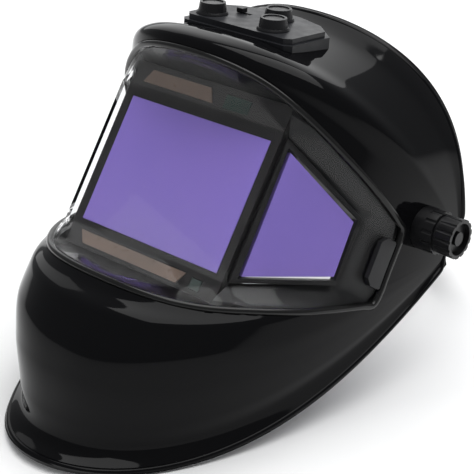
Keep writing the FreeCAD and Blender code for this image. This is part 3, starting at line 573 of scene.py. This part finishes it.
def surface_tree():
    rows, columns = len(GRID), len(GRID[0])
    points = [p for line in GRID for p in line]
    faces = [(i * columns + j, i * columns + j + 1, (i + 1) * columns + j + 1, (i + 1) * columns + j)
             for i in range(rows - 1) for j in range(columns - 1)]
    return BVHTree.FromPolygons(points, faces)


TREE = surface_tree()


def normal_near(point):
    """The shell surface's normal where it is nearest to the point."""
    return TREE.find_nearest(point)[1]


FRONT_GUESS_Y = -30.0
FRONT_POINTS = 41
FRONT_SPACING = 2.0
SETTLING_ROUNDS = 12
OFF_MIDDLE = 0.001
OUTSIDE_FRONT = -200
OUTSIDE_LEFT = 300


def opening_loop(inset):
    """Where the opening's outline meets the shell surface, as a closed loop."""
    outline = opening_side(inset)
    half_index = len(outline) // 2
    top, bottom = outline[:half_index], outline[half_index:][::-1]

    def height(edge, y):
        for a, b in zip(edge, edge[1:]):
            if a.x <= y <= b.x:
                return a.y + (b.y - a.y) * (y - a.x) / (b.x - a.x)
        return edge[0].y

    def front(edge):
        found, y = [], FRONT_GUESS_Y
        for k in range(FRONT_POINTS):
            x = FRONT_SPACING * k
            for _ in range(SETTLING_ROUNDS):
                z = height(edge, y)
                start = Vector((x + OFF_MIDDLE, OUTSIDE_FRONT, z))
                y = TREE.ray_cast(start, Vector((0, 1, 0)))[0].y
            found.append(Vector((x, y, z)))
        return found

    def side(edge, start_y):
        found = []
        for p in edge:
            if p.x > start_y + 0.5:
                start = Vector((OUTSIDE_LEFT, p.x, p.y))
                found.append(TREE.ray_cast(start, Vector((-1, 0, 0)))[0])
        return found

    upper, lower = front(top), front(bottom)
    right = upper + side(top, upper[-1].y) + side(bottom, lower[-1].y)[::-1] + lower[::-1]
    left = [Vector((-p.x, p.y, p.z)) for p in right[1:-1]][::-1]
    return right + left


def make_seal():
    path = evenly_closed(opening_loop(SEAL_WIDTH / 2), SEAL_STEPS)
    path = rounded_loop(path, 3)
    ups = averaged([normal_near(p) for p in path], 4)
    mesh = swept("seal", path, ups, SEAL_PROFILE)
    return piece("lens_seal_bead", mesh, "lens_seal")


def joined(first, second):
    """One mesh from two."""
    form = bmesh.new()
    form.from_mesh(first)
    form.from_mesh(second)
    form.to_mesh(first)
    form.free()
    return first


def make_shell():
    mesh = slab(GRID, NORMALS, 0.0, -SHELL_WALL)
    obj = piece("shell_body", mesh, "helmet_shell")
    cut_with(obj, opening_cutter())
    obj.data.set_sharp_from_angle(angle=SHELL_CREASE_ANGLE)
    joined(obj.data, make_rim_bead())
    dress(obj, "shell_gloss")
    return obj


# ---- headgear pads ----
BAND_CENTRE_Y = 160.0
BAND_FRONT_Y = 60.0
BAND_FRONT_Z = 60.0
RATCHET_Y = 262.0
RATCHET_Z = 41.0
BAND_DROP = (BAND_FRONT_Z - RATCHET_Z) / (RATCHET_Y - BAND_FRONT_Y)

PAD_GRAIN = 2.3
PAD_SHRINK = 1.1
PAD_SWELL = 1.6
COVER_PRESSURE = 4.0
COVER_STIFFNESS = 25.0
COVER_SHEAR_STIFFNESS = 12.0
COVER_FRAMES = 20

STITCH_DEPTH = 0.9
BORDER_INSET = 5.5
BORDER_WIDTH = 1.3
SEAM_WIDTH = 1.5
SEAM_SPREAD = 1.5

# Height of each pad, and its cross seams: degrees round the band in front of its
# middle, millimetres from the helmet's middle behind it.
PAD_SEAMS = {
    "sweatband": (36.0, (-52, -26, 0, 26, 52)),
    "rear_pad": (30.0, (-22, 0, 22)),
}


def puffed(obj, limit):
    """Swell the pad's cover under pressure, each point moving no further than limit metres."""
    start = [v.co.copy() for v in obj.data.vertices]
    cloth = obj.modifiers.new("cover", "CLOTH")
    cloth.settings.use_pressure = True
    cloth.settings.uniform_pressure_force = COVER_PRESSURE
    cloth.settings.tension_stiffness = COVER_STIFFNESS
    cloth.settings.compression_stiffness = COVER_STIFFNESS
    cloth.settings.shear_stiffness = COVER_SHEAR_STIFFNESS
    cloth.settings.effector_weights.gravity = 0.0
    cloth.point_cache.frame_start = 1
    cloth.point_cache.frame_end = COVER_FRAMES
    scene = bpy.context.scene
    for step in range(1, COVER_FRAMES + 1):
        scene.frame_set(step)
    applied(obj)
    scene.frame_set(1)
    for vertex, before in zip(obj.data.vertices, start):
        move = vertex.co - before
        if move.length > limit:
            vertex.co = before + move.normalized() * limit


def groove(distance, width):
    """Depth of a rounded groove at a distance from its middle, from 1 down to 0."""
    return math.exp(-(distance / width) ** 2)


def seam_depth(point, height, seams):
    """How deep the stitching pulls the cover in at a point, in millimetres."""
    if point.y < BAND_CENTRE_Y:
        around = math.degrees(math.atan2(point.x, BAND_CENTRE_Y - point.y))
    else:
        around = point.x
    middle_z = BAND_FRONT_Z - BAND_DROP * (point.y - BAND_FRONT_Y)
    rise = abs(point.z - middle_z)
    border = groove(rise - (height / 2 - BORDER_INSET), BORDER_WIDTH)
    across = max(groove((around - seam) * SEAM_SPREAD, SEAM_WIDTH) for seam in seams)
    return STITCH_DEPTH * max(border, across)


def make_pad(node, height, seams):
    """Knit cover over foam: swollen by cloth simulation, then stitched."""
    mesh = frame["nodes"][node].data.copy()
    mesh.name = node + "_cover"
    obj = piece(node + "_cover", mesh, node)
    form = bmesh.new()
    form.from_mesh(mesh)
    bmesh.ops.remove_doubles(form, verts=form.verts, dist=WELD_GAP * MM)
    form.to_mesh(mesh)
    form.free()
    remesh = obj.modifiers.new("even", "REMESH")
    remesh.mode = "VOXEL"
    remesh.voxel_size = PAD_GRAIN * MM
    applied(obj)
    normals = [v.normal.copy() for v in obj.data.vertices]
    for vertex, normal in zip(obj.data.vertices, normals):
        vertex.co -= normal * PAD_SHRINK * MM
    puffed(obj, PAD_SWELL * MM)
    obj.modifiers.new("fine", "SUBSURF").levels = 1
    applied(obj)
    to_head = STAND.inverted()
    normals = [v.normal.copy() for v in obj.data.vertices]
    for vertex, normal in zip(obj.data.vertices, normals):
        vertex.co -= normal * seam_depth(to_head @ vertex.co, height, seams) * MM
    for face in obj.data.polygons:
        face.use_smooth = True
    dress(obj, "padding")


# Edge radius in millimetres of the moulded and machined parts.
EDGE_RADII = {
    "control_panel": 1.3, "shade_knob": 0.6, "sensitivity_knob": 0.6, "delay_knob": 0.6,
    "left_tension_knob": 0.8, "right_tension_knob": 0.8, "knob_base_rings": 0.7,
    "left_lens_latch": 0.9, "right_lens_latch": 0.9, "cover_lens": 0.4,
    "cartridge_front_frame": 0.4, "cartridge_rear_housing": 0.6, "left_filter_wing": 0.4,
    "right_filter_wing": 0.4, "main_filter_glass": 0.2, "cartridge_holder": 0.5,
    "holder_brackets": 0.5, "holder_screws": 0.3, "inner_lens_clips": 0.4,
    "control_box": 1.0, "battery_door": 0.5, "pivot_bushes": 0.4, "pivot_bolts": 0.5,
    "friction_washers": 0.3, "angle_plates": 0.3, "headband": 0.6,
    "left_side_arm": 0.6, "right_side_arm": 0.6, "left_crown_strap": 0.5,
    "right_crown_strap": 0.5, "crown_strap_studs": 0.4, "ratchet_housing": 1.4,
    "ratchet_knob": 0.8, "left_band_rack": 0.3, "right_band_rack": 0.3,
}

make_shell()
make_seal()
for node, (height, seams) in PAD_SEAMS.items():
    make_pad(node, height, seams)
for node, obj in frame["nodes"].items():
    dress(obj, SLOTS[node])
for node, radius in EDGE_RADII.items():
    softened(node, radius)


# ---- floor, light and camera ----
def make_floor():
    """A wide plain disc."""
    radius, sides = 9.0, 96
    mesh = bpy.data.meshes.new("floor")
    turns = [2 * math.pi * k / sides for k in range(sides)]
    rim = [(radius * math.cos(turn), radius * math.sin(turn), 0.0) for turn in turns]
    mesh.from_pydata(rim, [], [tuple(range(sides))])
    floor = bpy.data.objects.new("floor", mesh)
    bpy.context.scene.collection.objects.link(floor)
    paint = Paint("floor", (0.93, 0.93, 0.93), 0.6)
    paint.tint(paint.noise(0.4), (0.92, 0.92, 0.92), (0.94, 0.94, 0.94))
    mesh.materials.append(paint.material)


CAMERA_PLACE = Vector((0.5526, -0.5708, 0.3587))
CAMERA_LOOK = Vector((-0.5887, 0.67255, -0.4484))
CAMERA_LENS = 105.7
LIGHT_TARGET = Vector((0, 0, 0.12))
WORLD_COLOUR = (0.96, 0.98, 1.0, 1.0)
WORLD_STRENGTH = 0.3


def look_along(obj, place, direction):
    obj.location = place
    obj.rotation_euler = direction.to_track_quat("-Z", "Y").to_euler()


def make_camera():
    data = bpy.data.cameras.new("camera")
    data.lens = CAMERA_LENS
    data.sensor_width = 36.0
    data.clip_start = 0.05
    camera = bpy.data.objects.new("camera", data)
    bpy.context.scene.collection.objects.link(camera)
    look_along(camera, WINDOW + CAMERA_PLACE, CAMERA_LOOK)
    bpy.context.scene.camera = camera


def make_light(name, place, size, power):
    """Soft rectangular light aimed at the helmet: metres and watts."""
    data = bpy.data.lights.new(name, "AREA")
    data.shape = "RECTANGLE"
    data.size, data.size_y = size
    data.energy = power
    light = bpy.data.objects.new(name, data)
    bpy.context.scene.collection.objects.link(light)
    look_along(light, Vector(place), LIGHT_TARGET - Vector(place))
    return light


def make_lights():
    make_light("overhead", place=(0.3, 0.4, 2.4), size=(2.6, 2.6), power=74)
    fill = make_light("fill", place=(-1.2, -2.0, 0.9), size=(1.2, 0.8), power=8)
    fill.visible_glossy = False
    rear = make_light("rear", place=(-1.15, 1.3, 1.0), size=(2.4, 1.6), power=12)
    rear.visible_camera = False
    world = bpy.data.worlds.new("studio")
    world.use_nodes = True
    background = world.node_tree.nodes["Background"]
    background.inputs["Color"].default_value = WORLD_COLOUR
    background.inputs["Strength"].default_value = WORLD_STRENGTH
    bpy.context.scene.world = world
    bpy.context.scene.view_settings.view_transform = "Standard"


make_floor()
make_camera()
make_lights()
